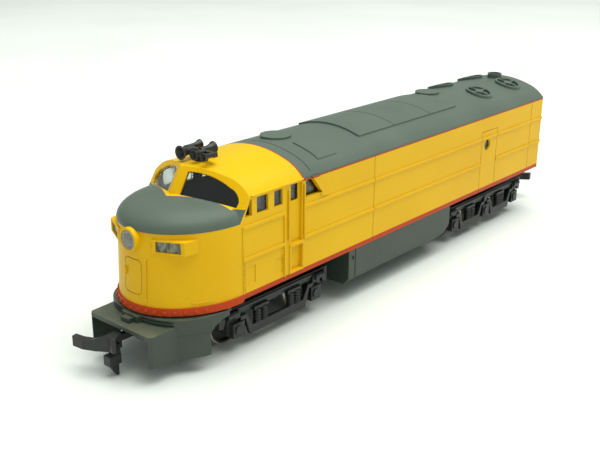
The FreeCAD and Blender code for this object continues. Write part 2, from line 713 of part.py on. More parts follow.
def body_screws():
    screws = [
        pan_screw(NOSE_POST[0], side * NOSE_POST[1], 13.7, 24.5, 0.8, 1.6)
        for side in (1, -1)
    ]
    return Part.makeCompound(screws + [pan_screw(TAIL_POST_X, 0, SILL_Z - 1.1, 24.5, 0.8, 1.6)])


# ---- wheelsets ----------------------------------------------------------------------
def wheel():
    profile = (
        (AXLE_R, WHEEL_BACK_Y), (2.2, WHEEL_BACK_Y), (2.6, 7.9), (4.2, 7.9), (4.5, WHEEL_BACK_Y),
        (6.5, WHEEL_BACK_Y),
        (FLANGE_R, 7.45), (6.45, 7.9), (5.98, 8.15), (TREAD_R - 0.06, WHEEL_FACE_Y),
        (4.8, WHEEL_FACE_Y), (4.5, 9.2), (2.6, 9.2), (2.1, 10.3), (AXLE_R, 10.3),
    )
    return turned(profile, V(0, 0, AXLE_Z), (0, 1, 0))


def wheel_pair():
    return Part.makeCompound(both_sides([wheel()]))


def axle():
    parts = [rod_y(0, -10.6, 10.6, AXLE_Z, AXLE_R), rod_y(0, -13.4, 13.4, AXLE_Z, JOURNAL_R)]
    return joined(parts)


# ---- gears --------------------------------------------------------------------------
def involute(angle):
    return math.tan(angle) - angle


def gear_face(teeth, x, y, z, first_tooth, bore):
    """Spur gear face in a plane across Y; first_tooth is the angle of a tooth's middle from +X to +Z."""
    pressure = math.radians(20)
    pitch_r = MODULE * teeth / 2
    base_r = pitch_r * math.cos(pressure)
    tip_r = pitch_r + 0.9 * MODULE
    root_r = pitch_r - 1.2 * MODULE
    tooth = math.pi * MODULE / 2 - 0.14
    half_at_pitch = tooth / (2 * pitch_r) + involute(pressure)

    def half_angle(radius):
        if radius <= base_r:
            return half_at_pitch
        return half_at_pitch - involute(math.acos(base_r / radius))

    inner_r = max(base_r, root_r + 0.02)
    radii = [root_r, inner_r] + [inner_r + (tip_r - inner_r) * step / 3 for step in (1, 2, 3)]
    points = []
    for index in range(teeth):
        middle = first_tooth + index * 2 * math.pi / teeth
        flank = [(radius, middle - half_angle(radius)) for radius in radii]
        flank += [(radius, middle + half_angle(radius)) for radius in reversed(radii)]
        points += [V(x + r * math.cos(a), y, z + r * math.sin(a)) for r, a in flank]
    outer = Part.makePolygon(points + [points[0]])
    hole = Part.Wire(Part.makeCircle(bore, V(x, y, z), V(0, 1, 0)))
    return Part.Face([outer, hole])


def gear(teeth, centre, y0, y1, first_tooth, bore):
    return gear_face(teeth, centre[0], y0, centre[1], first_tooth, bore).extrude(V(0, y1 - y0, 0))


def meshing_tooth(angle_a, teeth_a, teeth_b, centre_a, centre_b):
    """Angle of a tooth of gear b that meshes with gear a."""
    toward = math.atan2(centre_b[1] - centre_a[1], centre_b[0] - centre_a[0])
    offset = (angle_a - toward) * teeth_a / (2 * math.pi)
    return toward + math.pi + (0.5 - offset) * 2 * math.pi / teeth_b


def gear_spacing(teeth_a, teeth_b):
    return MODULE * (teeth_a + teeth_b) / 2


def train_centres(way):
    """Centres of the inner idler, outer idler and axle gear on one side (way is +1 or -1)."""
    drop = math.radians(IDLER_DROP_DEG)
    reach = gear_spacing(LAST_TEETH, IDLER_TEETH)
    inner = (reach * math.cos(drop), SECOND_Z - reach * math.sin(drop))
    last = (REAR_AXLES[2], AXLE_Z)
    span = math.hypot(last[0] - inner[0], last[1] - inner[1])
    near = gear_spacing(IDLER_TEETH, IDLER_TEETH)
    far = gear_spacing(IDLER_TEETH, AXLE_TEETH)
    along = (near ** 2 - far ** 2 + span ** 2) / (2 * span)
    fall = math.sqrt(near ** 2 - along ** 2)
    unit = ((last[0] - inner[0]) / span, (last[1] - inner[1]) / span)
    outer = (
        inner[0] + unit[0] * along + unit[1] * fall,
        inner[1] + unit[1] * along - unit[0] * fall,
    )
    return [(way * x, z) for x, z in (inner, outer, last)]


def gear_train():
    """All gears of the rear truck about its own centre, by node name."""
    second = (0.0, SECOND_Z)
    first = (0.0, FIRST_Z)
    motor = (0.0, MOTOR_Z)
    bore = GEAR_PIN_R + FIT
    pinion_tooth = 0.0
    first_tooth = meshing_tooth(pinion_tooth, PINION_TEETH, FIRST_TEETH, motor, first)
    second_tooth = meshing_tooth(first_tooth, PINION_TEETH, SECOND_TEETH, first, second)
    gears = {
        "motor_pinion": gear(PINION_TEETH, motor, GEAR_Y0, GEAR_Y1, pinion_tooth, AXLE_R),
        "first_reduction_gear": joined([
            gear(FIRST_TEETH, first, GEAR_Y0, GEAR_Y1, first_tooth, bore),
            gear(PINION_TEETH, first, GEAR_Y1, PINION_Y1, first_tooth, bore),
        ]),
        "second_reduction_gear": joined([
            gear(LAST_TEETH, second, GEAR_Y0, PINION_Y0, second_tooth, bore),
            gear(SECOND_TEETH, second, PINION_Y0, PINION_Y1, second_tooth, bore),
        ]),
    }
    for way, place in ((1, "front"), (-1, "rear")):
        inner, outer, last = train_centres(way)
        inner_tooth = meshing_tooth(second_tooth, LAST_TEETH, IDLER_TEETH, second, inner)
        outer_tooth = meshing_tooth(inner_tooth, IDLER_TEETH, IDLER_TEETH, inner, outer)
        axle_tooth = meshing_tooth(outer_tooth, IDLER_TEETH, AXLE_TEETH, outer, last)
        gears["inner_idler_" + place] = gear(IDLER_TEETH, inner, GEAR_Y0, GEAR_Y1, inner_tooth, bore)
        gears["outer_idler_" + place] = gear(IDLER_TEETH, outer, GEAR_Y0, GEAR_Y1, outer_tooth, bore)
        gears["axle_gear_" + place] = gear(AXLE_TEETH, last, GEAR_Y0, GEAR_Y1, axle_tooth, AXLE_R)
    return gears


def pin_centres():
    centres = [(0.0, SECOND_Z), (0.0, FIRST_Z)]
    for way in (1, -1):
        centres += train_centres(way)[:2]
    return centres


def gear_pins():
    return Part.makeCompound([rod_y(x, 0.9, 6.7, z, GEAR_PIN_R) for x, z in pin_centres()])


# ---- truck sideframes ---------------------------------------------------------------
def coil_spring(x, y, z0, z1, radius):
    turns = 5
    step = (z1 - z0) / turns
    profile = [(0.0, 0.0)]
    for turn in range(turns):
        low = turn * step
        profile += [(radius * 0.78, low), (radius, low + step * 0.3), (radius, low + step * 0.6)]
    profile += [(radius * 0.78, z1 - z0), (0.0, z1 - z0)]
    return turned(profile, V(x, y, z0), (0, 0, 1))


def equalizer(x0, x1):
    """Drop bar that hangs low between two axle boxes."""
    outline = (
        (x0 + 1.0, 10.3), (x0 + 3.4, 10.3), (x0 + 5.6, 6.2), (x1 - 5.6, 6.2), (x1 - 3.4, 10.3),
        (x1 - 1.0, 10.3), (x1 - 1.0, 9.0), (x1 - 2.9, 9.0), (x1 - 4.6, 3.7), (x0 + 4.6, 3.7),
        (x0 + 2.9, 9.0), (x0 + 1.0, 9.0),
    )
    return side_prism(outline, SIDEFRAME_Y + 1.4, SIDEFRAME_Y + 2.5)


def sideframe(axles, half_length, spring_middles):
    """Left sideframe about its truck's centre."""
    near = SIDEFRAME_Y
    face = near + 1.6
    top = (
        (-half_length, 8.4), (-half_length + 1.6, 8.4), (-half_length + 2.6, 10.8),
        (half_length - 2.6, 10.8), (half_length - 1.6, 8.4), (half_length, 8.4),
        (half_length, TRUCK_TOP_Z), (-half_length, TRUCK_TOP_Z),
    )
    parts = [side_prism(top, near, face)]
    parts.append(box(-half_length + 1.2, half_length - 1.2, near, face + 0.4, 12.0, 12.7))
    for axle_x in axles:
        parts.append(box(axle_x - 3.2, axle_x + 3.2, near, face - 0.1, 5.4, 10.9))
        parts.append(box(axle_x - 2.2, axle_x + 2.2, near, face + 1.2, 4.7, 8.9))
        parts.append(rod_y(axle_x, near, face + 1.6, AXLE_Z, 1.5))
        parts.append(box(axle_x - 1.0, axle_x + 1.0, near, face + 0.7, 10.0, 12.2))
    for x0, x1 in zip(axles[:-1], axles[1:]):
        parts.append(equalizer(x0, x1))
    for middle in spring_middles:
        parts.append(box(middle - 2.9, middle + 2.9, near, face + 0.9, 10.2, 11.2))
        for spring_x in (middle - 1.35, middle + 1.35):
            parts.append(coil_spring(spring_x, face + 0.3, 6.1, 10.3, 1.2))
    for way in (1, -1):
        cylinder_x = way * (half_length - 4.4)
        parts.append(rod_x(cylinder_x - 2.0, cylinder_x + 2.0, face + 0.3, 11.6, 1.1))
    frame = joined(parts)
    sockets = [rod_y(x, near - 1, near + 1.0, AXLE_Z, JOURNAL_R + 0.06) for x in axles]
    return frame.cut(sockets)


# ---- coupler and its pocket ---------------------------------------------------------
def coupler_pocket():
    """Upper half of the coupler pocket with its pivot post, at the nose end."""
    shell = box(POCKET_X0, POCKET_X1, -POCKET_HALF, POCKET_HALF, 9.4, 12.4)
    room = box(POCKET_X0 + 0.8, POCKET_X1 + 1, -2.7, 2.7, 9.0, 11.45)
    post = rod_z(COUPLER_PIVOT, 0, 8.4, 11.6, 0.9)
    return joined([shell.cut(room), post])


def coupler_lid():
    """Lid that clips over the pivot post and closes the pocket from below."""
    plate = box(POCKET_X0, POCKET_X1, -POCKET_HALF, POCKET_HALF, 8.6, 9.35)
    collar = rod_z(COUPLER_PIVOT, 0, 8.1, 8.7, 1.7)
    return joined([plate, collar]).cut(rod_z(COUPLER_PIVOT, 0, 8, 10, 0.92))


def hook_coupler():
    """Horn-hook coupler for the nose end, with its trip pin."""
    low = COUPLER_Z - 0.9
    high = COUPLER_Z + 0.85
    arm_plan = (
        (100.6, -1.0), (101.9, -3.0), (103.6, -5.4), (105.0, -7.8), (106.0, -10.4),
        (COUPLER_TIP, -10.2), (106.9, -7.0), (105.4, -4.0), (103.9, -1.6), (102.6, 0.4), (100.6, 0.4),
    )
    arm_face = (
        (-10.8, 7.3), (-10.8, 10.2), (-8.4, 9.8), (-5.6, 9.6), (-3.6, 10.5), (-1.6, 11.5),
        (0.6, 11.6), (0.6, 7.0), (-3.4, 6.9), (-7.0, 7.0),
    )
    arm = plan_prism(arm_plan, 5, 13).common(end_prism(arm_face, 99, 109))
    knuckle = plan_prism(
        ((100.4, -1.3), (102.4, -1.5), (103.8, 0.2), (104.6, 2.4), (103.7, 2.9),
         (102.0, 1.6), (100.4, 1.2)),
        8.0, 11.8,
    )
    trip_pin = side_prism(((101.2, 3.9), (104.3, 3.9), (102.1, 0.3), (101.4, 0.3)), -0.55, 0.55)
    parts = [
        rod_z(COUPLER_PIVOT, 0, low, high, 2.0),
        box(COUPLER_PIVOT, 101.0, -0.85, 0.85, low, high),
        arm,
        knuckle,
        box(100.9, 103.2, -1.0, 1.0, 5.8, 9.0),
        plan_prism(((100.9, -1.25), (104.7, -1.25), (104.7, 1.25), (100.9, 1.25)), 3.7, 6.4),
        trip_pin,
    ]
    body = joined(parts)
    cuts = [rod_z(COUPLER_PIVOT, 0, low - 1, high + 1, 0.97), rod_y(102.0, -3, 3, 9.6, 0.6)]
    return body.cut(cuts)


# ---- front truck --------------------------------------------------------------------
def front_truck_frame():
    core = box(-20.8, 20.8, -6.6, 6.6, 8.4, 13.0)
    parts = [core, box(-3.2, 3.2, -SIDEFRAME_Y, SIDEFRAME_Y, 9.4, 12.6), rod_z(0, 0, 13.0, 14.6, 6.0)]
    for axle_x in FRONT_AXLES:
        for rib_y in (-6.6, 4.0):
            parts.append(box(axle_x - 1.9, axle_x + 1.9, rib_y, rib_y + 2.6, 5.0, 8.4))
    parts.append(box(20.8, POCKET_X0 - FRONT_TRUCK_X, -2.6, 2.6, 9.4, 12.4))
    frame = joined(parts)
    cuts = [rod_y(x, -8, 8, AXLE_Z, AXLE_R + 0.06) for x in FRONT_AXLES]
    cuts += [rod_z(0, 0, 8, 15, 1.58), rod_z(0, 0, 8, 10.4, 2.9)]
    cuts.append(box(-12.5, 12.5, -4.6, 4.6, 8.0, 8.4 + 0.9))
    frame = at_truck(frame.cut(cuts), FRONT_TRUCK_X)
    return joined([frame, coupler_pocket()])


def front_pivot_screw():
    return pan_screw(FRONT_TRUCK_X, 0, 9.2, 17.8, 1.5, 2.6)


def pickup_strips(axles, left_y, right_y):
    """Two bronze strips along the truck with pads that wipe the backs of the wheels."""
    reach = abs(axles[0]) + 3.0
    strips = [
        box(-reach, reach, left_y, left_y + 0.2, 8.0, 9.3),
        box(-reach, reach, right_y - 0.2, right_y, 8.0, 9.3),
    ]
    for axle_x in axles:
        pad_x = axle_x + 2.9
        strips[0] = strips[0].fuse(box(pad_x - 0.6, pad_x + 0.6, left_y, WHEEL_BACK_Y - 0.08, 8.2, 9.1))
        strips[1] = strips[1].fuse(box(pad_x - 0.6, pad_x + 0.6, 0.08 - WHEEL_BACK_Y, right_y, 8.2, 9.1))
    return Part.makeCompound([strip.removeSplitter() for strip in strips])


# ---- rear power truck ---------------------------------------------------------------
def rear_truck_frame():
    """Gearbox block under the floor with an upright plate that carries the motor."""
    parts = [
        box(-25.4, 25.4, BLOCK_RIGHT_Y, BLOCK_LEFT_Y, 4.6, 13.4),
        box(-12.0, 12.0, BLOCK_RIGHT_Y, BLOCK_LEFT_Y, 13.4, 14.6),
        box(-8.0, 8.0, 1.1, BLOCK_LEFT_Y, 14.0, MOTOR_Z),
        rod_y(0, 1.1, BLOCK_LEFT_Y, MOTOR_Z, MOTOR_R),
    ]
    for arm_x in (-11.0, 11.0):
        parts.append(box(arm_x - 2.4, arm_x + 2.4, -SIDEFRAME_Y, BLOCK_RIGHT_Y, 9.4, 12.6))
    pocket_back = POCKET_X0 + REAR_TRUCK_X
    parts.append(box(-pocket_back, -25.4, -3.4, 1.6, 9.4, 12.4))
    frame = joined(parts)
    cuts = [rod_y(x, -8, 4, AXLE_Z, AXLE_R + 0.06) for x in REAR_AXLES]
    cuts.append(rod_y(0, 0, 3, MOTOR_Z, AXLE_R + 0.05))
    cuts += [rod_y(x, 0.9, 3, z, GEAR_PIN_R) for x, z in pin_centres()]
    cuts += [box(x - 4.0, x + 4.0, -5.0, 0.6, 3, 5.4) for x in (-11, 11)]
    cuts += [rod_z(x, -3.6, 13.0, 15, 0.8) for x in (-10.4, 10.4)]
    frame = at_truck(frame.cut(cuts), REAR_TRUCK_X)
    return joined([frame, turned_about(coupler_pocket(), 180)])


def gear_cover():
    foot = ((-25.4, 2.8), (25.4, 2.8), (25.4, 12.8), (10.0, 14.2), (8.4, 14.4), (8.4, 19.6),
            (6.4, 33.8), (-6.4, 33.8), (-8.4, 19.6), (-8.4, 14.4), (-10.0, 14.2), (-25.4, 12.8))
    parts = [side_prism(foot, COVER_Y0, COVER_Y1)]
    for arm_x in (-11.0, 11.0):
        parts.append(box(arm_x - 2.4, arm_x + 2.4, COVER_Y0, SIDEFRAME_Y, 9.4, 12.6))
    for way in (1, -1):
        parts.append(rod_y(way * 24.6, BLOCK_LEFT_Y, COVER_Y0, 12.0, 0.7))
    cover = joined(parts)
    cuts = [rod_y(x, 4, 9, AXLE_Z, AXLE_R + 0.06) for x in REAR_AXLES]
    cuts += [rod_y(x, 4, 6.7, z, GEAR_PIN_R) for x, z in pin_centres()]
    cuts.append(rod_y(0, 4, 9, MOTOR_Z, 1.3))
    return at_truck(cover.cut(cuts), REAR_TRUCK_X)


def turntable():
    """Ring that turns in the round hole of the chassis floor and carries its weight."""
    flange = rod_z(0, 0, 14.6, SILL_Z - 0.15, TURN_R + 1.4)
    disc = rod_z(0, 0, 14.6, FLOOR_TOP_Z + 0.1, TURN_R - 0.08)
    parts = [flange, disc]
    lip = rod_z(0, 0, FLOOR_TOP_Z + 0.1, FLOOR_TOP_Z + 0.9, TURN_R + 0.6)
    lip = lip.cut(rod_z(0, 0, FLOOR_TOP_Z, FLOOR_TOP_Z + 1, TURN_R - 1.6))
    catches = [lip.common(box(s * 13 - 4, s * 13 + 4, -4.5, 4.5, 18, 20)) for s in (1, -1)]
    ring = joined(parts + catches)
    cuts = [box(-9.0, 9.0, -0.4, 7.3, 14, 20)]
    for hole_x in (-10.4, 10.4):
        cuts.append(rod_z(hole_x, -3.6, 14, 20, 0.8))
        cuts.append(rod_z(hole_x, -3.6, 17.3, 20, 1.5))
    return at_truck(ring.cut(cuts), REAR_TRUCK_X)


def motor_housing():
    tube = rod_y(0, -10.0, 1.05, MOTOR_Z, MOTOR_R).cut(rod_y(0, -11, 2, MOTOR_Z, MOTOR_R - 0.8))
    return at_truck(tube, REAR_TRUCK_X)


def motor_magnets():
    ring = rod_y(0, -9.3, 0.9, MOTOR_Z, MOTOR_R - 0.85).cut(rod_y(0, -11, 2, MOTOR_Z, 7.65))
    gap = box(-1.6, 1.6, -12, 3, MOTOR_Z - 12, MOTOR_Z + 12)
    halves = ring.cut(gap)
    return at_truck(halves, REAR_TRUCK_X)


def brush_plate():
    plate = rod_y(0, -12.8, -10.05, MOTOR_Z, MOTOR_R)
    plate = plate.fuse(rod_y(0, -14.2, -12.8, MOTOR_Z, 2.6))
    cuts = [rod_y(0, -11.7, -10, MOTOR_Z, 3.0), rod_y(0, -15, -10, MOTOR_Z, AXLE_R + 0.05)]
    cuts.append(box(-9.4, 9.4, -11.15, -9.9, MOTOR_Z - 1.1, MOTOR_Z + 1.1))
    return at_truck(plate.cut(cuts), REAR_TRUCK_X)


def motor_brushes():
    brushes = []
    for way in (1, -1):
        x0, x1 = sorted((way * 2.7, way * 5.4))
        brushes.append(box(x0, x1, -11.1, -10.1, MOTOR_Z - 1.05, MOTOR_Z + 1.05))
    return at_truck(Part.makeCompound(brushes), REAR_TRUCK_X)


def brush_springs():
    springs = []
    for way in (1, -1):
        profile = []
        for turn in range(4):
            low = turn * 0.95
            profile += [(0.32, low), (0.45, low + 0.3), (0.45, low + 0.6)]
        profile = [(0.1, 0.0)] + profile + [(0.32, 3.9), (0.1, 3.9)]
        springs.append(turned(profile, V(way * 5.45, -10.6, MOTOR_Z), (way, 0, 0)))
    return at_truck(Part.makeCompound(springs), REAR_TRUCK_X)


def armature_shaft():
    return at_truck(rod_y(0, -13.9, 4.4, MOTOR_Z, AXLE_R), REAR_TRUCK_X)


def pole_arm(half_width, r0, r1, y0, y1, index):
    arm = box(r0, r1, y0, y1, -half_width, half_width)
    arm = arm.rotated(V(0, 0, 0), V(0, 1, 0), 360.0 * index / POLES + 90)
    return arm.translated(V(0, 0, MOTOR_Z))


def armature_core():
    rim = rod_y(0, -8.0, -1.6, MOTOR_Z, 7.4).cut(rod_y(0, -9, 0, MOTOR_Z, 6.0))
    slots = [pole_arm(1.0, 5.0, 9.0, -9, 0, index + 0.5) for index in range(POLES)]
    parts = [rim.cut(slots), rod_y(0, -8.0, -1.6, MOTOR_Z, 2.6)]
    parts += [pole_arm(1.2, 1.5, 6.4, -8.0, -1.6, index) for index in range(POLES)]
    return at_truck(joined(parts).cut(rod_y(0, -9, 0, MOTOR_Z, AXLE_R)), REAR_TRUCK_X)


def armature_windings():
    coils = []
    for index in range(POLES):
        coil = pole_arm(2.2, 3.3, 5.4, -8.9, -0.7, index)
        coils.append(coil.cut(pole_arm(1.2, 2.0, 7.0, -8.0, -1.6, index)))
    return at_truck(Part.makeCompound(coils), REAR_TRUCK_X)


def commutator():
    ring = rod_y(0, -11.5, -9.2, MOTOR_Z, 2.6).cut(rod_y(0, -12, -9, MOTOR_Z, AXLE_R))
    slots = [pole_arm(0.15, 0.5, 4.0, -12, -9, index + 0.5) for index in range(POLES)]
    return at_truck(ring.cut(slots), REAR_TRUCK_X)


def turntable_screws():
    screws = []
    for x in (-10.4, 10.4):
        head = rod_z(x, -3.6, 17.3, 18.2, 1.4)
        shank = rod_z(x, -3.6, 13.0, 17.3, 0.8)
        screws.append(joined([head, shank]).cut(box(x - 1.5, x + 1.5, -3.8, -3.4, 17.8, 19)))
    return at_truck(Part.makeCompound(screws), REAR_TRUCK_X)


# ---- write every node ---------------------------------------------------------------
def save_body():
    save("body_shell", body_shell())
    save("windshield_glazing", windshield_glazing())
    save("side_glazing_left", side_glazing())
    save("side_glazing_right", other_side(side_glazing()))
    save("headlight_lens", headlight_lens())
    save("number_board_lenses", number_lenses())
    save("horn_cluster", horn_cluster())
    save("headlight_bulb", lamp_bulb())
    save("lamp_holder", lamp_holder())
    save("chassis_frame", chassis_frame())
    save("ballast_weight", ballast_weight())
    save("fuel_tank", fuel_tank())
    save("pilot", pilot())
    save("body_screws", body_screws())
    save("front_pivot_screw", front_pivot_screw())


def save_sideframes(end, frame, centre_x):
    save(end + "_sideframe_left", at_truck(frame, centre_x))
    save(end + "_sideframe_right", at_truck(other_side(frame), centre_x))


def save_couplers():
    for end, degrees in (("front", 0), ("rear", 180)):
        save(end + "_coupler", turned_about(hook_coupler(), degrees))
        save(end + "_coupler_lid", turned_about(coupler_lid(), degrees))


def save_wheelsets():
    places = [("front_truck", FRONT_TRUCK_X, FRONT_AXLES), ("rear_truck", REAR_TRUCK_X, REAR_AXLES)]
    for truck, centre_x, axles in places:
        for number, axle_x in enumerate(reversed(axles), start=1):
            place = V(centre_x + axle_x, 0, 0)
            save(truck + "_wheels_" + str(number), wheel_pair().translated(place))
            save(truck + "_axle_" + str(number), axle().translated(place))


def save_trucks():
    save("front_truck_frame", front_truck_frame())
    save("front_pickup_strips", at_truck(pickup_strips(FRONT_AXLES, 6.6, -6.6), FRONT_TRUCK_X))
    save_sideframes("front", sideframe(FRONT_AXLES, FRONT_TRUCK_HALF, (-7.0, 7.0)), FRONT_TRUCK_X)
    save("rear_truck_frame", rear_truck_frame())
    save("rear_pickup_strips", at_truck(pickup_strips(REAR_AXLES, COVER_Y1, BLOCK_RIGHT_Y), REAR_TRUCK_X))
    save_sideframes("rear", sideframe(REAR_AXLES, REAR_TRUCK_HALF, (-11.0, 11.0)), REAR_TRUCK_X)
    save("gear_cover", gear_cover())
    save("gear_pins", at_truck(gear_pins(), REAR_TRUCK_X))
    save("turntable", turntable())
    save("turntable_screws", turntable_screws())


def save_motor():
    save("motor_housing", motor_housing())
    save("motor_magnets", motor_magnets())
    save("brush_plate", brush_plate())
    save("motor_brushes", motor_brushes())
    save("brush_springs", brush_springs())
    save("armature_shaft", armature_shaft())
    save("armature_core", armature_core())
    save("armature_windings", armature_windings())
    save("commutator", commutator())
    for name, shape in gear_train().items():
        save(name, at_truck(shape, REAR_TRUCK_X))


os.makedirs("parts", exist_ok=True)
save_body()
save_couplers()
save_wheelsets()
save_trucks()
save_motor()
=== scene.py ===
"""Looks of the model diesel locomotive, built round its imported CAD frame."""
import json
import math

import bpy
from mathutils import Matrix, Vector


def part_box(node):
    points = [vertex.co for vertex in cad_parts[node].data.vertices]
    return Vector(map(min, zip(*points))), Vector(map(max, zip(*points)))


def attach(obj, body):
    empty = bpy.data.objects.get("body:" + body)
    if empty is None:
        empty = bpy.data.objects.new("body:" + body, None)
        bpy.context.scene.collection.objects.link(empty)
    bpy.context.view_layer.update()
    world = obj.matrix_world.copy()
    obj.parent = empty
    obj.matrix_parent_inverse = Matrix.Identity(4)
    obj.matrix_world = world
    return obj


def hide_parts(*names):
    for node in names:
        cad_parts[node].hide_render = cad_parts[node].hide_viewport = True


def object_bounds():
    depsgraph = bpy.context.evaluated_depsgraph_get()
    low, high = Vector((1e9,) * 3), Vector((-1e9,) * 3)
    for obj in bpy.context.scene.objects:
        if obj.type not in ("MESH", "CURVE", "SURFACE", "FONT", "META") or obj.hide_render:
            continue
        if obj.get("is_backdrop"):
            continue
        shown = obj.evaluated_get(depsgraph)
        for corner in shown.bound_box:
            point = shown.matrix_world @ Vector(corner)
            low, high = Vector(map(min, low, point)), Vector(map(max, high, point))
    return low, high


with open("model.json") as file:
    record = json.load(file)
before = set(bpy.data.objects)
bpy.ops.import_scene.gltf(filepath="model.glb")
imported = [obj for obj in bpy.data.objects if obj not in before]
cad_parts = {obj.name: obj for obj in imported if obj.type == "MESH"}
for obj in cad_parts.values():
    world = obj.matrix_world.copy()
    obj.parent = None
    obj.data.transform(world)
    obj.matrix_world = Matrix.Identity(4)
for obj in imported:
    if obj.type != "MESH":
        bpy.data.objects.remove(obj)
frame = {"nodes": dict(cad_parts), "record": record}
cad_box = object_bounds()
nodes = frame["nodes"]
MM = 0.001

# ---- camera and lens ----------------------------------------------------------------
CAMERA_PLACE = (0.2286, 0.1702, 0.1171)
CAMERA_YAW = math.radians(220.4)
CAMERA_PITCH = math.radians(-20.0)
CAMERA_ROLL = math.radians(0.33)
CAMERA_LENS = 54.0
SENSOR_WIDTH = 36.0
CLIP = (0.005, 20.0)

# ---- floor, sky and lights, in metres and watts ---------------------------------------
FLOOR_HALF = 3.0
SKY_TINT = (0.93, 1.0, 0.96, 1.0)
SKY_STRENGTH = 0.39
# Each light: name, place, target, size, power, colour.
LIGHTS = (
    ("key", (-0.16, 0.17, 1.28), (0, 0, 0.03), (1.3, 1.3), 26.5, (1.0, 0.995, 0.97)),
    ("fill", (0.50, 0.80, 0.60), (0, 0, 0.02), (0.8, 0.6), 0.6, (0.98, 1.0, 0.98)),
)

# ---- body shell landmarks, in millimetres -------------------------------------------
SKIN_DEPTH = 1.1
PAINT_LAP = 0.02
END_LAP = 0.1
SILL_Z = 16.4
BAND_TOP_Z = 18.4
BELT_Z = 38.3
ROOF_PAINT_Z = 44.55
CAB_PAINT_X = 48.5
REAR_X = -95.0
NOSE_CENTRE_X = 73.3
NOSE_LENGTH = 22.0
NOSE_SHRINK = 1.2
NOSE_TAPER = NOSE_SHRINK / (BELT_Z - SILL_Z)
WINDSHIELD_FOOT = (81.1, 44.3)
WINDSHIELD_NORMAL = (0.7553, 0.4361, 0.4893)
INNER_HALF = 17.1
HOOD_POWER = 2.3
HOOD_INNER_RISE = 5.5
HOOD_START = 0.8
LOW_SIDE = (15.5, 41.9)
LOW_SIDE_SHIFT = -1.4
GLASS_DEPTH = -1.05
STRIPE_HEIGHT = 0.4
STRIPE_WIDTH = 0.45
ARCH_HALF = 17.6
ARCH_POWER = 1.7
ARCH_ROOT = 0.588
ARCH_RISE = 5.8
ARCH_FOOT_Z = 44.8
HEADLIGHT_X = 88.0
HEADLIGHT_Z = 35.8
HEADLIGHT_R = 3.25

# ---- motor landmarks, in millimetres --------------------------------------------------
POLES = 3
WIRE_R = 0.14
COIL_GAP = 0.01
COIL_CORNER = 0.2
COIL_PITCH = 1.07
COIL_STEPS = 16
COIL_TURNS = 6
COIL_LAYERS = 3
COIL_START_R = 3.45
POLE_HALF = 1.2
POLE_HALF_LENGTH = 3.2
SPRING_LENGTH = 3.9
SPRING_TURNS = 9
SPRING_STEPS = 20
SPRING_WIRE_R = 0.07

# ---- colours as seen on a screen ------------------------------------------------------
YELLOW = (230, 181, 2)
YELLOW_DEEP = (224, 173, 2)
# Paler edge tone: part worn paint, part a painted highlight.
YELLOW_WORN_HIGHLIGHT = (255, 222, 70)
ROOF_GREY = (91, 104, 93)
ROOF_GREY_DEEP = (85, 98, 87)
# Paler edge tone: part worn paint, part a painted highlight.
ROOF_GREY_WORN_HIGHLIGHT = (120, 133, 120)
STRIPE_RED = (172, 54, 16)
BAND_RED = (182, 60, 14)
# Paler edge tone: part worn paint, part a painted highlight.
BAND_RED_WORN_HIGHLIGHT = (226, 110, 46)
PLASTIC_GREY = (50, 60, 51)
PLASTIC_GREY_PALE = (57, 67, 57)
# Pale tone for up-facing faces: part a dusting, part a painted top light.
DUST_AND_TOP_LIGHT = (106, 114, 93)
PLASTIC_BLACK = (20, 23, 22)
PLASTIC_BLACK_PALE = (31, 35, 33)
# Lift for paler plastic edges: part worn plastic, part a painted highlight.
WORN_HIGHLIGHT_LIFT = 34
# Near-black painted shade for the inner faces of the shell, over its unpainted plastic.
INSIDE_PAINTED_SHADE = (30, 32, 31)


def linear(red, green, blue):
    """A screen colour, 0 to 255 each, as the linear colour that a shader takes."""
    channels = []
    for value in (red, green, blue):
        share = value / 255
        channels.append(share / 12.92 if share <= 0.04045 else ((share + 0.055) / 1.055) ** 2.4)
    return (*channels, 1.0)


